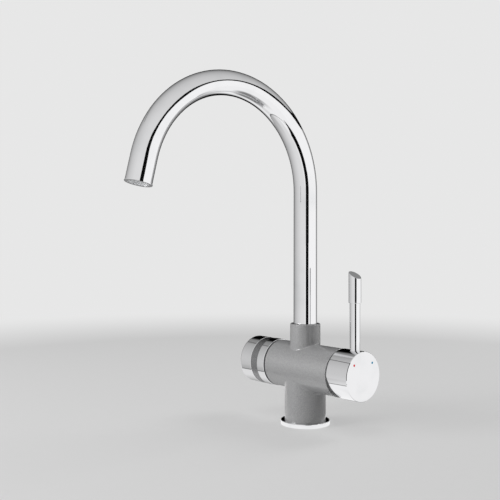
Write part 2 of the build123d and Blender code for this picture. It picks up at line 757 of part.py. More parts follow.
with BuildPart() as lever_sleeve:
    ring(level(lever_top_z, lever_x), sleeve_length, sleeve_radius)
    with BuildSketch(upright(lever_x, lever_top_z + sleeve_length)) as tip_cut:
        with BuildLine():
            Polyline(
                (-sleeve_radius, 0),
                (sleeve_radius, -sleeve_tip_drop),
                (sleeve_radius + overrun, overrun),
                (-sleeve_radius, overrun),
                close=True,
            )
        make_face()
    extrude(amount=sleeve_radius, both=True, mode=Mode.SUBTRACT)
    fillet(lever_sleeve.edges().filter_by(GeomType.LINE, reverse=True), radius=sleeve_edge_radius)
    drill(level(lever_top_z, lever_x), lever_tenon_length, lever_tenon_radius)
finish(lever_sleeve, "lever_sleeve")

# Filter valve: the pieces that stay still
with BuildPart() as filter_seat_seal:
    seat_seal_bore = filter_seat_seal_radius - filter_seat_seal_width
    ring(leftward(filter_seat_u), filter_seat_seal_height, filter_seat_seal_radius, seat_seal_bore)
finish(filter_seat_seal, "filter_seat_seal")

with BuildPart() as filter_fixed_disc:
    ring(leftward(sleeve_u), filter_disc_thickness, filter_chamber_radius)
    with BuildSketch(leftward(sleeve_u)) as fixed_ports:
        with PolarLocations(filter_disc_circle_radius, filter_disc_hole_count):
            Circle(filter_disc_hole_radius)
    extrude(amount=filter_disc_thickness, mode=Mode.SUBTRACT)
finish(filter_fixed_disc, "filter_fixed_disc")

with BuildPart() as filter_valve_body:
    ring(leftward(sleeve_u), filter_sleeve_length, filter_sleeve_radius)
    ring(leftward(thread_u), filter_thread_length, filter_thread_radius)
    hexagon(leftward(flange_u), filter_flange_length, filter_flange_across)
    ring(leftward(flange_u), filter_flange_length + filter_neck_length, filter_neck_radius)
    drill(leftward(sleeve_u), drum_end_u + moving_gap - sleeve_u, filter_chamber_radius)
    drill(leftward(drum_end_u), valve_end_u - drum_end_u, spindle_bore_radius)
    with BuildSketch(leftward(drum_u)) as windows:
        Rectangle(2 * filter_bore_radius, drum_slot_width)
        Rectangle(drum_slot_width, 2 * filter_bore_radius)
    extrude(amount=window_length, mode=Mode.SUBTRACT)
finish(filter_valve_body, "filter_valve_body")

with BuildPart() as filter_flange_seal:
    ring(leftward(counterbore_u), filter_flange_seal_height, flange_seal_radius, filter_thread_radius)
finish(filter_flange_seal, "filter_flange_seal")

# Filter valve: the pieces that turn with the knob
with BuildPart() as filter_moving_disc:
    ring(leftward(filter_moving_disc_u), filter_disc_thickness, drum_radius)
    with BuildSketch(leftward(filter_moving_disc_u)) as moving_ports:
        with PolarLocations(filter_disc_circle_radius, filter_disc_hole_count, start_angle=filter_turn):
            Circle(filter_disc_hole_radius)
    extrude(amount=filter_disc_thickness, mode=Mode.SUBTRACT)
finish(filter_moving_disc, "filter_moving_disc")

with BuildPart() as filter_spindle:
    ring(leftward(drum_u), drum_length, drum_radius)
    with BuildSketch(leftward(drum_u)) as drum_slot:
        Rectangle(drum_slot_width, 2 * drum_radius)
    extrude(amount=drum_slot_depth, mode=Mode.SUBTRACT)
    ring(leftward(drum_end_u), shaft_end_u - drum_end_u, spindle_radius)
    ring(leftward(shaft_end_u), knob_hub_gap + spline_length, spline_radius)
    with BuildSketch(leftward(knob_hub_u)) as spline_grooves:
        with PolarLocations(spline_radius, spline_count):
            Circle(spline_groove_radius)
    extrude(amount=spline_length, mode=Mode.SUBTRACT)
    for place in spindle_seal_places:
        groove(leftward(flange_u + place), spindle_seal_height, spindle_radius, spindle_groove_radius)
    groove(leftward(clip_u), clip_thickness, spindle_radius, spindle_radius - clip_depth)
    drill(leftward(knob_screw_u), knob_screw_length, knob_screw_radius)
finish(filter_spindle, "filter_spindle")

with BuildPart() as spindle_seals:
    for place in spindle_seal_places:
        seal = leftward(flange_u + place)
        ring(seal, spindle_seal_height, spindle_bore_radius - seal_gap, spindle_groove_radius)
finish(spindle_seals, "spindle_seals")

with BuildPart() as spindle_clip:
    ring(leftward(clip_u), clip_thickness, spindle_radius + clip_stand, spindle_radius - clip_depth)
    with BuildSketch(leftward(clip_u)) as clip_mouth:
        Rectangle(clip_opening, spindle_radius + clip_stand, align=(Align.CENTER, Align.MIN))
    extrude(amount=clip_thickness, mode=Mode.SUBTRACT)
finish(spindle_clip, "spindle_clip")

# Filter knob
with BuildPart() as knob_core:
    ring(leftward(knob_u), knob_front_length, knob_radius)
    chamfer(knob_core.edges(), length=knob_edge_chamfer)
    ring(leftward(grip_u), knob_core_end_u - grip_u, knob_core_radius)
    drill(leftward(knob_u), knob_core_end_u - knob_u, knob_bore_radius)
    ring(leftward(knob_web_u), knob_web_thickness, knob_bore_radius)
    ring(leftward(knob_hub_u), knob_web_u - knob_hub_u, knob_hub_radius)
    drill(leftward(knob_hub_u), knob_web_u - knob_hub_u, spline_radius)
    drill(leftward(knob_web_u), knob_web_thickness, knob_screw_radius)
finish(knob_core, "knob_core")

with BuildPart() as knob_grip:
    ring(leftward(grip_u), grip_length, knob_radius - grip_step, knob_core_radius)
finish(knob_grip, "knob_grip")

with BuildPart() as knob_cover:
    ring(leftward(cover_u), cover_length, knob_radius)
    rims = knob_cover.edges().sort_by(Axis.X)
    fillet(rims[0], radius=cover_end_radius)
    chamfer(rims[-1], length=knob_edge_chamfer)
    drill(leftward(cover_u), cover_length - cover_end_thickness, knob_core_radius)
finish(knob_cover, "knob_cover")

with BuildPart() as knob_screw:
    ring(leftward(knob_screw_u), knob_screw_length, knob_screw_radius)
    ring(leftward(knob_screw_head_u), knob_screw_head_height, knob_screw_head_radius)
    key_depth = knob_screw_head_height / 2
    hexagon(leftward(knob_screw_head_u + key_depth), key_depth, knob_screw_key, mode=Mode.SUBTRACT)
finish(knob_screw, "knob_screw")

# Spout bearing: the pieces that stay still
with BuildPart() as centre_pipe:
    ring(level(pipe_bottom), pipe_top - pipe_bottom, pipe_radius)
    ring(level(collar_floor), pipe_flange_height, pipe_flange_radius)
    drill(level(pipe_bottom), pipe_top - pipe_bottom, pipe_radius - pipe_wall)
finish(centre_pipe, "centre_pipe")

with BuildPart() as bearing_ring:
    ring(level(mouth_floor), bearing_ring_height, mouth_radius, tube_radius + shaft_fit)
finish(bearing_ring, "bearing_ring")

with BuildPart() as locking_screw:
    point_start = spigot_radius - locking_point_length
    shank_start = collar_bore_radius + seal_gap
    shank_end = collar_radius - locking_screw_inset
    ring(crosswise(0, locking_height, point_start), shank_start - point_start, locking_point_radius)
    ring(crosswise(0, locking_height, shank_start), shank_end - shank_start, locking_screw_radius)
    key_socket = crosswise(0, locking_height, shank_end - locking_key_depth)
    hexagon(key_socket, locking_key_depth, locking_screw_key, mode=Mode.SUBTRACT)
finish(locking_screw, "locking_screw")

# Spout: everything that swivels
with BuildPart() as spout_spigot:
    ring(level(spigot_bottom), spigot_top - spigot_bottom, spigot_radius)
    ring(level(spigot_top), spigot_neck_length, tube_bore_radius)
    ring(level(spigot_neck_top), nipple_length, filter_tube_bore_radius)
    groove(level(slide_groove_z), slide_ring_height, spigot_radius, slide_bed_radius)
    for seal_z in (lower_seal_z, upper_seal_z):
        groove(level(seal_z), seal_groove_height, spigot_radius, seal_bed_radius)
    groove(level(locking_groove_z), locking_groove_height, spigot_radius, locking_bed_radius)
    drill(level(spigot_bottom), pipe_bore_depth, pipe_bore_radius)
    drill(level(pipe_seal_z), pipe_seal_height, pipe_seal_radius)
    drill(level(spigot_bottom), spigot_neck_top + nipple_length - spigot_bottom, nipple_bore_radius)
    with BuildSketch(level(spigot_bottom)) as water_holes:
        with PolarLocations(water_hole_circle_radius, water_hole_count):
            Circle(water_hole_radius)
    extrude(amount=spigot_neck_top - spigot_bottom, mode=Mode.SUBTRACT)
finish(spout_spigot, "spout_spigot")

with BuildPart() as slide_ring:
    ring(level(slide_groove_z), slide_ring_height, collar_bore_radius - shaft_fit, slide_bed_radius)
finish(slide_ring, "slide_ring")

with BuildPart() as spigot_seals:
    for seal_z in (lower_seal_z, upper_seal_z):
        seal = level(seal_z + (seal_groove_height - seal_ring_height) / 2)
        ring(seal, seal_ring_height, collar_bore_radius - seal_gap, seal_bed_radius)
finish(spigot_seals, "spigot_seals")

with BuildPart() as pipe_seal:
    ring(level(pipe_seal_z), pipe_seal_height, pipe_seal_radius, pipe_radius + seal_gap)
finish(pipe_seal, "pipe_seal")

with BuildPart() as spout_tube:
    tube_along(spout_route(spigot_top, outlet_flange), spigot_top, tube_radius, tube_bore_radius)
finish(spout_tube, "spout_tube")

with BuildPart() as filter_tube:
    filter_route = spout_route(spigot_neck_top, filter_tube_end)
    tube_along(filter_route, spigot_neck_top, filter_tube_radius, filter_tube_bore_radius)
finish(filter_tube, "filter_tube")

# Outlet
with BuildPart() as outlet_bush:
    ring(outlet(0), outlet_flange, outlet_radius)
    ring(outlet(outlet_flange), outlet_bush_length - outlet_flange, tube_bore_radius)
    drill(outlet(0), outlet_recess_depth, outlet_recess_radius)
    drill(outlet(outlet_recess_depth), outlet_shoulder_place - outlet_recess_depth, outlet_thread_radius)
    drill(outlet(outlet_shoulder_place), outlet_shoulder_length, outlet_shoulder_radius)
finish(outlet_bush, "outlet_bush")

with BuildPart() as aerator_housing:
    ring(outlet(aerator_place), aerator_rim_thickness, outlet_recess_radius - slip_fit)
    ring(outlet(outlet_recess_depth), aerator_seal_place - outlet_recess_depth, outlet_thread_radius)
    drill(outlet(aerator_place), aerator_seal_place - aerator_place, aerator_seat_radius)
finish(aerator_housing, "aerator_housing")

with BuildPart() as aerator_insert:
    ring(outlet(insert_place), insert_thickness, aerator_seat_radius, nozzle_radius)
    with BuildSketch(outlet(insert_place)) as jets:
        for row, count in enumerate(insert_row_counts, start=1):
            with PolarLocations(nozzle_radius + row * insert_row_pitch, count):
                Circle(insert_hole_radius)
    extrude(amount=insert_thickness, mode=Mode.SUBTRACT)
finish(aerator_insert, "aerator_insert")

with BuildPart() as aerator_screen:
    ring(outlet(screen_place), screen_thickness, aerator_seat_radius, nozzle_radius)
    with BuildSketch(outlet(screen_place)) as holes:
        for row, count in enumerate(insert_row_counts, start=1):
            half_pitch = 180 / count
            with PolarLocations(nozzle_radius + row * insert_row_pitch, count, start_angle=half_pitch):
                Circle(screen_hole_radius)
    extrude(amount=screen_thickness, mode=Mode.SUBTRACT)
finish(aerator_screen, "aerator_screen")

with BuildPart() as filter_nozzle:
    ring(outlet(nozzle_place), filter_tube_end - nozzle_place, nozzle_radius)
    ring(outlet(filter_tube_end), barb_length, filter_tube_bore_radius)
    ring(outlet(nozzle_flange_place), nozzle_flange_thickness, aerator_seat_radius)
    drill(outlet(nozzle_place), filter_tube_end + barb_length - nozzle_place, nozzle_radius - nozzle_wall)
    with BuildSketch(outlet(nozzle_flange_place)) as flange_holes:
        with PolarLocations((nozzle_radius + aerator_seat_radius) / 2, nozzle_flange_hole_count):
            Circle(nozzle_flange_hole_radius)
    extrude(amount=nozzle_flange_thickness, mode=Mode.SUBTRACT)
finish(filter_nozzle, "filter_nozzle")

with BuildPart() as aerator_seal:
    seal_bore_radius = aerator_seal_radius - aerator_seal_width
    ring(outlet(aerator_seal_place), aerator_seal_height, aerator_seal_radius, seal_bore_radius)
finish(aerator_seal, "aerator_seal")
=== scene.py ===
"""Drinking water filter tap: finishes, knurled grip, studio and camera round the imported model.

Lengths are in metres and angles in degrees unless a name says otherwise.
"""

import json
import math

import bmesh
import bpy
import numpy as np
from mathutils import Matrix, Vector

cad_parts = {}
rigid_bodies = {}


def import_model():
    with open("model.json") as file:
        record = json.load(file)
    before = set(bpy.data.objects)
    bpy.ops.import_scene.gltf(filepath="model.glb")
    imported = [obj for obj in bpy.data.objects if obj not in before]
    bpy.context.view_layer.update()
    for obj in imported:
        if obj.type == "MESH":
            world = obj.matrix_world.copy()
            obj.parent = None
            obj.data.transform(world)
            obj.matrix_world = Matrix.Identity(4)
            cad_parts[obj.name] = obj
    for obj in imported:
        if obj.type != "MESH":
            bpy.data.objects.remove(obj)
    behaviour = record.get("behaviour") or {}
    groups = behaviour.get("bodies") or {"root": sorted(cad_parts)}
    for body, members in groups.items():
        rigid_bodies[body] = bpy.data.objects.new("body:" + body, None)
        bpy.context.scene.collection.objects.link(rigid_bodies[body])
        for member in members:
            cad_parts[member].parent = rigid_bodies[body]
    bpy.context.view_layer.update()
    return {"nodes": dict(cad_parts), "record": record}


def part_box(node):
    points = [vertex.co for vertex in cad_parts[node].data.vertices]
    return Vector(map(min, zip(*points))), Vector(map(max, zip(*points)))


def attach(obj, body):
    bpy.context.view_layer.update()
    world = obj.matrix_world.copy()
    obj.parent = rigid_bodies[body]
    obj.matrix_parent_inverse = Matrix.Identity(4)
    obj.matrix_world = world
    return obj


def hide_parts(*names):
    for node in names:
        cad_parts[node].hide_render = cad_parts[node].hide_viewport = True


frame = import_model()

# The camera's place and turn, and the lens and shift that frame the whole tap
camera_place = (0.564891, -0.565887, 0.190598)
camera_turn = (91.755, -0.147, 48.508)
camera_lens = 55.70              # millimetres, on a sensor of 36
camera_shift = (-0.0144, -0.0739)

# Middle heights of the crosswise body and of the screw that locks the spout
axis_height = 0.0577
screw_height = float(sum(corner[2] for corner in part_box("locking_screw")) / 2)

# Knurl of the filter knob's grip: two crossing sets of grooves
knurl_count = 96                 # grooves of one set round the grip
knurl_lead = 6                   # grooves that one line crosses from side to side
knurl_depth = 0.00010
knurl_samples = 8                # points from groove to groove
knurl_land = 0.40                # share of the way between grooves that stays flat on top
grip_bevel = 0.00035
grip_wall = 0.0030

crisp_angle = 35.0               # edges that turn by more than this stay crisp

# Drops of enamel that mark hot and cold
drop_radius = 0.00118
drop_height = 0.00022
drop_sink = 0.00005
drop_sides = 48
drop_shares = np.array([0.0, 0.25, 0.5, 0.7, 0.85, 0.95, 1.0, 0.98, 0.5, 0.0])
drop_under = 3                   # the last of these rings close the drop underneath

# Grains in paint and ceramic: cells to the metre, and the random numbers from which a cell
# begins to show and shows in full. The dark ones go the other way: they show in full below the
# first number and not at all above the second
dark_grains = (2900, 0.12, 0.40)
light_grains = (2300, 0.68, 0.95)
glint_grains = (1300, 0.955, 0.985)
ceramic_pores = (2600, 0.90, 0.98)
dark_share = 0.40                # how far a grain takes the paint to the dark or light tone
light_share = 0.30

# Marks in metal, to the metre: hairlines round the chrome, and the rings of a lathe
hairlines_across = 240
hairlines_up = 3200
lathe_rings = 5200

# Colours, linear
granite_grey = (0.300, 0.300, 0.304)
granite_dark = (0.150, 0.150, 0.155)
granite_light = (0.520, 0.520, 0.520)
chrome_tone = (0.80, 0.80, 0.81)
chrome_haze = (0.74, 0.745, 0.755)
# Painted shade for the knurl's grooves, and the tone of its lands
painted_groove_shade = (0.09, 0.09, 0.095)
land_tone = (0.47, 0.47, 0.475)
ceramic_tones = ((0.80, 0.78, 0.72), (0.74, 0.72, 0.665))
brass_tones = ((0.66, 0.49, 0.25), (0.50, 0.36, 0.17))
steel_tones = ((0.56, 0.56, 0.57), (0.46, 0.46, 0.47))

# Machined metals: tones when clean and stained, the axis that they are turned about, roughness
machined = {
    "brass": (*brass_tones, "x", 0.24),
    "brass_z": (*brass_tones, "z", 0.24),
    "steel": (*steel_tones, "x", 0.20),
    "steel_y": (*steel_tones, "y", 0.20),
}
# Moulded pieces: two tones and the roughness
mouldings = {
    "black_rubber": ((0.018, 0.018, 0.018), (0.030, 0.030, 0.030), 0.55),
    "grey_plastic": ((0.10, 0.10, 0.11), (0.125, 0.125, 0.135), 0.42),
    "white_plastic": ((0.76, 0.76, 0.75), (0.70, 0.70, 0.68), 0.38),
    "aerator_plastic": ((0.80, 0.81, 0.82), (0.74, 0.75, 0.76), 0.30),
}
# Enamels: tones where the drop is thin and deep
enamels = {
    "red_enamel": ((0.66, 0.010, 0.016), (0.54, 0.007, 0.012)),
    "blue_enamel": ((0.002, 0.240, 0.410), (0.002, 0.190, 0.340)),
}

# Turned pieces whose axis isn't the crosswise body's
turned_about = {"centre_pipe": "z", "spout_spigot": "z", "locking_screw": "y"}
turning_heights = {"x": axis_height, "y": screw_height, "z": 0.0}


def grey(level):
    return (level, level, level)


def operator(operation, swapped=False):
    """An operator of Shade: a Math node on both sides, swapped for the reflected form."""

    def applied(self, other):
        return self.math(operation, *((other, self) if swapped else (self, other)))

    return applied


class Shade:
    """A socket in a node tree. Arithmetic on it adds Math nodes, and node() adds any other."""

    def __init__(self, tree, socket=None):
        self.tree = tree
        self.socket = socket

    def node(self, kind, settings=None, values=None, result=0):
        """Adds a node, whose settings are made before its sockets get their values or links."""
        made = self.tree.nodes.new("ShaderNode" + kind)
        for name, setting in (settings or {}).items():
            if name == "stops":
                stops = made.color_ramp.elements
                while len(stops) < len(setting):
                    stops.new(1.0)
                for stop, (place, tone) in zip(stops, setting):
                    stop.position = place
                    stop.color = (*grey(tone), 1.0)
            else:
                setattr(made, name, setting)
        for name, value in (values or {}).items():
            if isinstance(value, Shade):
                self.tree.links.new(value.socket, made.inputs[name])
            elif made.inputs[name].type == "RGBA":
                made.inputs[name].default_value = (*value, 1.0)
            else:
                made.inputs[name].default_value = value
        return Shade(self.tree, made.outputs[result] if made.outputs else None)

    def math(self, operation, *values):
        return self.node("Math", {"operation": operation}, dict(enumerate(values)))

    __add__ = __radd__ = operator("ADD")
    __mul__ = __rmul__ = operator("MULTIPLY")
    __sub__ = operator("SUBTRACT")
    __rsub__ = operator("SUBTRACT", swapped=True)
    __pow__ = operator("POWER")
    __rpow__ = operator("POWER", swapped=True)

    def __abs__(self):
        return self.math("ABSOLUTE", self)

    def or_more(self, other):
        """The larger of the two."""
        return self.math("MAXIMUM", self, other)

    def between(self, low, high):
        """0 below low, 1 above high and smooth in between."""
        values = {"Value": self, "From Min": low, "From Max": high}
        return self.node("MapRange", {"interpolation_type": "SMOOTHSTEP"}, values)

    def colours(self, low, high):
        """The colour low where this is 0 and high where it is 1."""
        return self.node("Mix", {"data_type": "RGBA"}, {0: self, 6: low, 7: high}, result=2)

    def shaders(self, low, high):
        """The shader low where this is 0 and high where it is 1."""
        return self.node("MixShader", values={0: self, 1: low, 2: high})

    def axes(self):
        """The three numbers of a place."""
        parts = self.node("SeparateXYZ", values={"Vector": self})
        return [Shade(self.tree, socket) for socket in parts.socket.node.outputs]

    def dot(self, other):
        """How far a direction goes along another."""
        settings = {"operation": "DOT_PRODUCT"}
        return self.node("VectorMath", settings, {0: self, 1: other}, result="Value")

    def noise(self, scale, detail=2.0):
        """Soft random lumps, scale of them to the metre."""
        values = {"Vector": self, "Scale": scale, "Detail": detail}
        return self.node("TexNoise", values=values)

    def grains(self, scale, low, high):
        """Of a crowd of cells, scale to the metre, each with a random number: 1 in those whose
        number is above high, 0 below low and smooth in between."""
        cells = self.node("TexVoronoi", values={"Vector": self, "Scale": scale}, result="Color")
        return cells.axes()[0].between(low, high)


def bare(owner):
    """The start of an empty node tree in a new material or world."""
    owner.use_nodes = True
    owner.node_tree.nodes.clear()
    return Shade(owner.node_tree)


def finish(name, surface):
    """A material whose surface function turns the piece's own coordinates into sockets of the
    Principled shader."""
    material = bpy.data.materials.new(name)
    start = bare(material)
    place = start.node("TexCoord", result="Object")
    shader = start.node("BsdfPrincipled", values=surface(place))
    start.node("OutputMaterial", values={"Surface": shader})
    return material


def relief(height, distance):
    """The normal over small ups and downs: height from 0 to 1 stands for distance."""
    return height.node("Bump", values={"Height": height, "Distance": distance})


def granite_paint(place):
    """Satin grey paint full of very fine darker and lighter grains, with a few that glint."""
    dark = 1 - place.grains(*dark_grains)
    light = place.grains(*light_grains)
    glint = place.grains(*glint_grains)
    fine = place.noise(scale=4200)
    tone = (dark * dark_share).colours(granite_grey, granite_dark)
    tone = (light * light_share).colours(tone, granite_light)
    return {
        "Base Color": tone,
        "Roughness": 0.42 + fine * 0.08 - glint * 0.15,
        "Normal": relief(fine * 0.5 + light * 0.5, distance=0.00003),
        "Coat Weight": 0.8,
        "Coat Roughness": 0.10,
    }


def chrome(place):
    """Polished chrome with a breath of haze and hairline marks from wiping round it."""
    haze = place.noise(scale=38, detail=4).between(0.42, 0.78)
    x, y, z = place.axes()
    x, y, z = x * hairlines_across, y * hairlines_across, z * hairlines_up
    wiped = place.node("CombineXYZ", values={"X": x, "Y": y, "Z": z})
    marks = wiped.noise(scale=1.0).between(0.60, 0.80)
    return {
        "Base Color": haze.colours(chrome_tone, chrome_haze),
        "Metallic": 1.0,
        "Roughness": 0.030 + haze * 0.022 + marks * 0.014,
    }


def knurled_steel(place):
    """Grey plated grip: a painted shade darkens the knurl's grooves against its lighter lands."""
    x, y, z = place.axes()
    radius = ((y * y) + (z - axis_height) ** 2.0) ** 0.5
    outside = float(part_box("knob_grip")[1][1])
    height = radius.between(outside - knurl_depth, outside)
    grain = place.noise(scale=2400, detail=3)
    return {
        # Painted shade: darker the deeper a point lies in the knurl's grooves
        "Base Color": height.colours(painted_groove_shade, land_tone),
        "Metallic": 1.0,
        "Roughness": 0.26 - height * 0.08 + grain * 0.06,
        "Normal": relief(grain, distance=0.00001),
    }


def turned(tone, dull, axis, roughness):
    """Machined metal with the fine rings that a lathe leaves round the axis of the valves, the
    screw or the column."""

    def surface(place):
        x, y, z = place.axes()
        along, across, up = {"x": (x, y, z), "y": (y, x, z), "z": (z, x, y)}[axis]
        up = up - turning_heights[axis]
        radius = (across * across + up * up) ** 0.5
        ring, pass_along = radius * lathe_rings, along * lathe_rings
        rings = place.node("CombineXYZ", values={"X": ring, "Y": pass_along}).noise(scale=1.0)
        stain = place.noise(scale=160, detail=4).between(0.40, 0.72)
        return {
            "Base Color": stain.colours(tone, dull),
            "Metallic": 1.0,
            "Roughness": roughness + rings * 0.14 + stain * 0.08,
            "Normal": relief(rings, distance=0.00003),
        }

    return surface


def moulded(tone, worn, roughness):
    """Moulded plastic or rubber with the fine texture of its tool and a slight unevenness of
    tone."""

    def surface(place):
        grain = place.noise(scale=1800, detail=3)
        cloud = place.noise(scale=120)
        return {
            "Base Color": cloud.between(0.35, 0.70).colours(tone, worn),
            "Roughness": roughness + grain * 0.12,
            "Normal": relief(grain, distance=0.00003),
        }

    return surface


def ceramic(place):
    """Fired alumina, lapped smooth, with faint pores."""
    pores = place.grains(*ceramic_pores)
    cloud = place.noise(scale=220, detail=3).between(0.35, 0.70)
    return {
        "Base Color": cloud.colours(*ceramic_tones),
        "Roughness": 0.20 + pores * 0.3 + cloud * 0.05,
        "Normal": relief(1 - pores, distance=0.00002),
    }


def enamel(tone, deep):
    """A drop of clear coloured enamel that the bright metal under it shines through, deeper in
    tone where it pools."""

    def surface(place):
        pool = place.noise(scale=1400)
        return {
            "Base Color": pool.between(0.35, 0.70).colours(tone, deep),
            "Metallic": 0.9,
            "Roughness": 0.22 + pool * 0.08,
            "Normal": relief(pool, distance=0.00002),
        }

    return surface


surfaces = {
    "granite_paint": granite_paint,
    "chrome": chrome,
    "disc_ceramic": ceramic,
    "grip_paint": knurled_steel,
    **{name: turned(*look) for name, look in machined.items()},
    **{name: moulded(*look) for name, look in mouldings.items()},
    **{name: enamel(*look) for name, look in enamels.items()},
}
finishes = {name: finish(name, surface) for name, surface in surfaces.items()}

for part in frame["record"]["subparts"]:
    piece = frame["nodes"][part["node"]]
    kind = part["material_slot"]
    if part["node"] in turned_about:
        kind += "_" + turned_about[part["node"]]
    for slot in piece.material_slots:
        slot.material = finishes[kind]


def placed(name, data):
    """An object of the scene, at the origin, with that mesh, lamp or lens."""
    made = bpy.data.objects.new(name, data)
    bpy.context.scene.collection.objects.link(made)
    return made


def grid_mesh(name, points, closed_rows=False, closed_columns=False):
    """A mesh from a grid of points, rows by columns by 3, with a face between each four
    neighbours. The rows or the columns may close on themselves."""
    rows, columns = points.shape[:2]
    row = np.arange(rows if closed_rows else rows - 1)[:, None]
    column = np.arange(columns if closed_columns else columns - 1)[None, :]
    next_row, next_column = (row + 1) % rows, (column + 1) % columns
    corners = [
        row * columns + column,
        row * columns + next_column,
        next_row * columns + next_column,
        next_row * columns + column,
    ]
    faces = np.stack(np.broadcast_arrays(*corners), axis=-1).reshape(-1, 4)
    mesh = bpy.data.meshes.new(name)
    mesh.from_pydata(points.reshape(-1, 3), [], faces.tolist())
    return mesh


def skin(name, points, finish_name, body, closed_rows=True):
    """A smooth closed piece of the tap from rings of points. Its rows may close on themselves,
    or else they end in single points."""
    mesh = grid_mesh(name, points, closed_rows, closed_columns=True)
    merged = bmesh.new()
    merged.from_mesh(mesh)
    bmesh.ops.remove_doubles(merged, verts=merged.verts, dist=1e-7)
    bmesh.ops.recalc_face_normals(merged, faces=merged.faces)
    merged.to_mesh(mesh)
    merged.free()
    mesh.polygons.foreach_set("use_smooth", np.ones(len(mesh.polygons), bool))
    mesh.set_sharp_from_angle(angle=math.radians(crisp_angle))
    mesh.materials.append(finishes[finish_name])
    mesh.update()
    piece = placed(name, mesh)
    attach(piece, body)
    return piece


def knurled_grip():
    """The filter knob's grip.

    A closed profile of the ring is turned about the body's axis. Over its outside, the radius is
    the nominal one less depth * max(0, 1 - min(a, b) / (1 - land)), where a and b are triangle
    waves, from 0 in a groove to 1 half way to the next, of count * turn plus and minus
    lead * place along the ring.
    """
    low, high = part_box("knob_grip")
    outside = float(high[1])
    left, right = float(low[0]), float(high[0])
    bore, shoulder = outside - grip_wall, outside - knurl_depth - grip_bevel
    rows = knurl_lead * knurl_samples + 1
    place = np.linspace(0, 1, rows)
    length = left + grip_bevel + (right - left - 2 * grip_bevel) * place
    top = np.stack([length, np.full(rows, outside)], axis=1)
    rim = [(right, shoulder), (right, bore), (left, bore), (left, shoulder)]
    profile = np.vstack([top, rim])
    along = np.concatenate([place, [1, 1, 0, 0]])
    knurled = np.concatenate([np.ones(rows), np.zeros(len(rim))])
    turns = knurl_count * knurl_samples
    turn = np.arange(turns)[None, :] / turns
    phases = [knurl_count * turn + sense * knurl_lead * along[:, None] for sense in (1, -1)]
    a, b = [1 - np.abs(2 * (phase % 1) - 1) for phase in phases]
    depth = knurl_depth * np.clip(1 - np.minimum(a, b) / (1 - knurl_land), 0, 1)
    radius = profile[:, 1][:, None] - depth * knurled[:, None]
    angle = 2 * math.pi * turn
    points = np.stack(
        [
            np.broadcast_to(profile[:, 0][:, None], radius.shape),
            -radius * np.cos(angle),
            axis_height + radius * np.sin(angle),
        ],
        axis=-1,
    )
    return skin("knurled_grip", points, "grip_paint", "filter_knob")


grip = knurled_grip()
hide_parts("knob_grip")


def enamel_drop(name, node, finish_name):
    """A drop of enamel on the cap's end face.

    Its height over the face is drop_height * (1 - (r / drop_radius) ** 2) for the distance r
    from the mark's middle. A flat disc closes it underneath, a little below the face.
    """
    low, high = (np.array(corner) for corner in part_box(node))
    middle = (low + high) / 2
    face = float(high[0]) - drop_sink
    angle = 2 * math.pi * np.arange(drop_sides)[None, :] / drop_sides
    height = drop_height * (1 - drop_shares**2)
    height[-drop_under:] = -drop_sink
    radius = (drop_radius * drop_shares)[:, None]
    points = np.stack(
        [
            np.repeat((face + height)[:, None], drop_sides, axis=1),
            middle[1] + radius * np.cos(angle),
            middle[2] + radius * np.sin(angle),
        ],
        axis=-1,
    )
    drop = skin(name, points, finish_name, "mixer_lever", closed_rows=False)
    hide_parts(node)


enamel_drop("hot_drop", "hot_mark", "red_enamel")
enamel_drop("cold_drop", "cold_mark", "blue_enamel")

# The studio: the tone of its backdrop, the strength of its soft light on the tap, and those of
# its cards. Azimuths are counted from +X towards +Y; the camera stands at -45
studio_pale = grey(0.80)
world_fill = 0.22
card_dark = 0.004
card_bright = 1.10
card_window = 0.20
wall_columns = 25
frame_radius = 0.62
frame_inside = [
    (-12, 0.18), (-12, 0.30), (-12, 0.36), (-15, 0.42), (-12, 0.47), (-4, 0.50),
    (10, 0.508), (25, 0.51), (45, 0.51), (70, 0.51), (95, 0.51), (120, 0.51),
]
frame_outside = [
    (-38.5, 0.18), (-39, 0.30), (-40, 0.38), (-38, 0.47), (-30, 0.555), (-10, 0.60),
    (10, 0.605), (25, 0.605), (45, 0.605), (70, 0.60), (95, 0.60), (120, 0.60),
]
window_top_ends = ((-1.48, 0.14), (-1.00, -0.79))
window_top_heights = (1.235, 1.305)


def glow(start, tone, strength=1.0):
    """A surface that only shines."""
    return start.node("Emission", values={"Color": tone, "Strength": strength})


def card(name, edges, strength):
    """A card that only reflections show: a strip between two edges of as many points each."""
    material = bpy.data.materials.new(name)
    start = bare(material)
    start.node("OutputMaterial", values={"Surface": glow(start, grey(1.0), strength)})
    mesh = grid_mesh(name, np.array(edges, float))
    mesh.materials.append(material)
    made = placed(name, mesh)
    made.visible_camera = False
    made.visible_diffuse = False
    made.visible_shadow = False
    made.visible_transmission = False


def standing(radius, low, high):
    """The edges of a card on an upright cylinder round the tap, from azimuths and heights: each
    point is at radius * cos and radius * sin of its azimuth."""
    edges = np.array([low, high], float)
    angle = np.radians(edges[:, :, 0])
    return np.stack([radius * np.cos(angle), radius * np.sin(angle), edges[:, :, 1]], axis=-1)


def wall(name, radius, azimuths, heights, strength):
    """A standing card with level edges."""
    angles = np.linspace(*azimuths, wall_columns)
    edges = [[(angle, height) for angle in angles] for height in heights]
    card(name, standing(radius, *edges), strength)


card("dark_frame", standing(frame_radius, frame_inside, frame_outside), card_dark)
wall("dark_post", radius=0.30, azimuths=(-40.5, -14), heights=(0.0, 0.26), strength=card_dark)
wall("bright_panel", radius=0.66, azimuths=(-20, 80), heights=(0.0, 0.55), strength=card_bright)
window_top = [[(*end, height) for end in window_top_ends] for height in window_top_heights]
card("window_top", window_top, card_window)

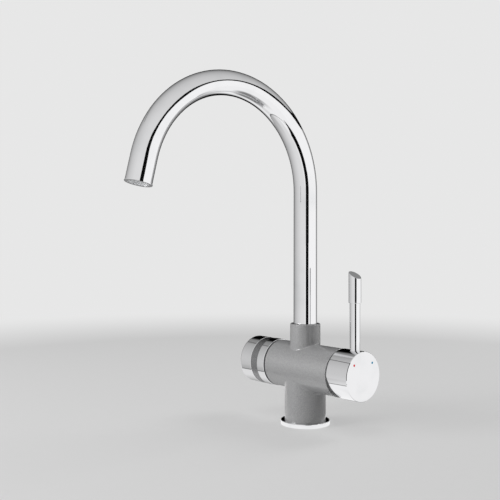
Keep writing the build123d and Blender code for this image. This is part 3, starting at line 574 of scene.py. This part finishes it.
# The room that reflections show darkens towards its dark side, behind the tap. Its floor shines
# towards the bright side and near the tap, as far as the window's edge in front
dark_side = (-0.740, 0.621, 0.259)
bright_side = (0.978, 0.208, 0.0)
room_tones = [
    (0.0, 0.88), (0.18, 0.86), (0.587, 0.67), (0.71, 0.57), (0.815, 0.47), (0.87, 0.34),
    (0.935, 0.26), (0.952, 0.08), (0.966, 0.0),
]
floor_glow = 1.06
glow_reach = (0.25, 0.6)         # distances over which the glow gives way to the room's tone
glow_side = (0.40, 0.60)         # how far towards the bright side it begins to hold, and holds
window_edge_y = -0.073           # at x of 0
window_edge_slope = -0.12
window_edge_blur = 0.001
window_line_width = 0.008
window_line_tone = 0.15
window_line_share = 0.75

# The shade that reflections show on the floor under the tap: where it sets in and ends in y, and
# to either side in x. A fainter one lies on the filter valve's side. The foot stands clear of both
shade_start = (-0.06, 0.06)
shade_end = (0.12, 0.22)
shade_sides = (0.11, 0.20)
shade_share = 0.75
side_shade_end = (-0.10, 0.0)
side_shade_reach = (0.13, 0.25)
side_shade_share = 0.18
foot_clear = (0.040, 0.055)

# The floor's mesh and its pale tones
floor_radii = (0.0, 0.5, 1.0, 2.0, 4.0, 8.0, 16.0)
floor_spokes = 96
floor_tones = (0.66, 0.68)
floor_fade = (0.25, 1.2)         # distances over which it takes the backdrop's tone
floor_haze = 0.45                # share of the backdrop's tone that the camera sees everywhere


def room_tone(direction):
    """What a mirror sees of the room in that direction."""
    towards = direction.dot(dark_side) * 0.5 + 0.5
    return direction.node("ValToRGB", {"stops": room_tones}, {"Fac": towards})


def seen_floor(start, place, away):
    """The floor to all but reflections: a matt pale tone that fades into the backdrop's."""
    tone = place.noise(scale=90, detail=4).colours(*map(grey, floor_tones))
    matt = start.node("BsdfDiffuse", values={"Color": tone})
    by_camera = start.node("LightPath", result="Is Camera Ray")
    faded = away.between(*floor_fade).or_more(by_camera * floor_haze)
    return faded.shaders(matt, glow(start, studio_pale))


def mirrored_floor(start, place, away):
    """The floor as polished metal shows it: lit by the room, with the shade under the tap."""
    x, y, z = place.axes()
    direction = place.node("VectorMath", {"operation": "NORMALIZE"}, {0: place})
    past_edge = window_edge_y + x * window_edge_slope - y
    window = past_edge.between(0, window_edge_blur)
    line_end = past_edge.between(window_line_width, window_line_width + window_edge_blur)
    line = window * (1 - line_end) * window_line_share
    off_side = 1 - direction.dot(bright_side).between(*glow_side)
    roomy = window.or_more(away.between(*glow_reach)) * off_side
    tone = roomy.colours(grey(floor_glow), room_tone(direction))
    tone = line.colours(tone, grey(window_line_tone))
    under = y.between(*shade_start) * (1 - y.between(*shade_end))
    under = under * (1 - abs(x).between(*shade_sides)) * shade_share
    beside = 1 - x.between(*side_shade_end)
    beside = beside * (1 - away.between(*side_shade_reach)) * side_shade_share
    shaded = under.or_more(beside) * away.between(*foot_clear)
    return glow(start, shaded.colours(tone, grey(card_dark)))


def floor():
    """A plain pale floor, of rings round the tap: each point is at a ring's radius times the
    cosine and the sine of its angle. The angles run clockwise, so that the faces point up."""
    angle = -2 * math.pi * np.arange(floor_spokes)[None, :] / floor_spokes
    radius = np.array(floor_radii)[:, None]
    flat = np.zeros((len(floor_radii), floor_spokes))
    points = np.stack([radius * np.cos(angle), radius * np.sin(angle), flat], axis=-1)
    mesh = grid_mesh("floor", points, closed_columns=True)
    material = bpy.data.materials.new("floor")
    start = bare(material)
    place = start.node("TexCoord", result="Object")
    x, y, z = place.axes()
    away = (x * x + y * y) ** 0.5
    by_mirror = start.node("LightPath", result="Is Glossy Ray")
    shown = seen_floor(start, place, away), mirrored_floor(start, place, away)
    start.node("OutputMaterial", values={"Surface": by_mirror.shaders(*shown)})
    mesh.materials.append(material)
    ground = placed("floor", mesh)


floor()


def studio_world():
    """A pale room that lights the tap softly."""
    world = bpy.data.worlds.new("studio")
    bpy.context.scene.world = world
    start = bare(world)
    direction = start.node("TexCoord", result="Generated")

    def background(tone, strength=1.0):
        return start.node("Background", values={"Color": tone, "Strength": strength})

    by_camera = start.node("LightPath", result="Is Camera Ray")
    by_mirror = start.node("LightPath", result="Is Glossy Ray")
    surface = by_camera.shaders(background(grey(1.0), world_fill), background(studio_pale))
    surface = by_mirror.shaders(surface, background(room_tone(direction)))
    start.node("OutputWorld", values={"Surface": surface})


studio_world()

# Polished pieces show the studio's cards and none of its lamps
bright_metals = {finishes[kind] for kind in ("chrome", "grip_paint", *machined)}
polished = bpy.data.collections.new("polished")
for piece in bpy.context.scene.objects:
    if any(slot.material in bright_metals for slot in piece.material_slots):
        polished.objects.link(piece)
for entry in polished.collection_objects:
    entry.light_linking.link_state = "EXCLUDE"

lamp_aim = 0.10                  # height at which the lamps look, on the column's axis


def softbox(name, azimuth, elevation, distance, size, power):
    """A square lamp that looks at the tap. Its power is in watts."""
    light = bpy.data.lights.new(name, "AREA")
    light.shape = "SQUARE"
    light.size = size
    light.energy = power
    lamp = placed(name, light)
    around, up = math.radians(azimuth), math.radians(elevation)
    lamp.location = (
        distance * math.cos(up) * math.cos(around),
        distance * math.cos(up) * math.sin(around),
        lamp_aim + distance * math.sin(up),
    )
    lamp.rotation_euler = (math.radians(90 - elevation), 0, math.radians(azimuth + 90))
    lamp.light_linking.receiver_collection = polished


softbox("key_light", azimuth=-112, elevation=14, distance=1.5, size=0.7, power=14.0)
softbox("rim_light", azimuth=75, elevation=40, distance=1.8, size=0.7, power=9.0)
softbox("top_light", azimuth=-85, elevation=65, distance=1.6, size=1.0, power=5.0)

bpy.context.scene.view_settings.view_transform = "Standard"

lens = bpy.data.cameras.new("camera")
lens.lens = camera_lens
lens.shift_x, lens.shift_y = camera_shift
camera = placed("camera", lens)
camera.location = camera_place
camera.rotation_euler = [math.radians(angle) for angle in camera_turn]
bpy.context.scene.camera = camera
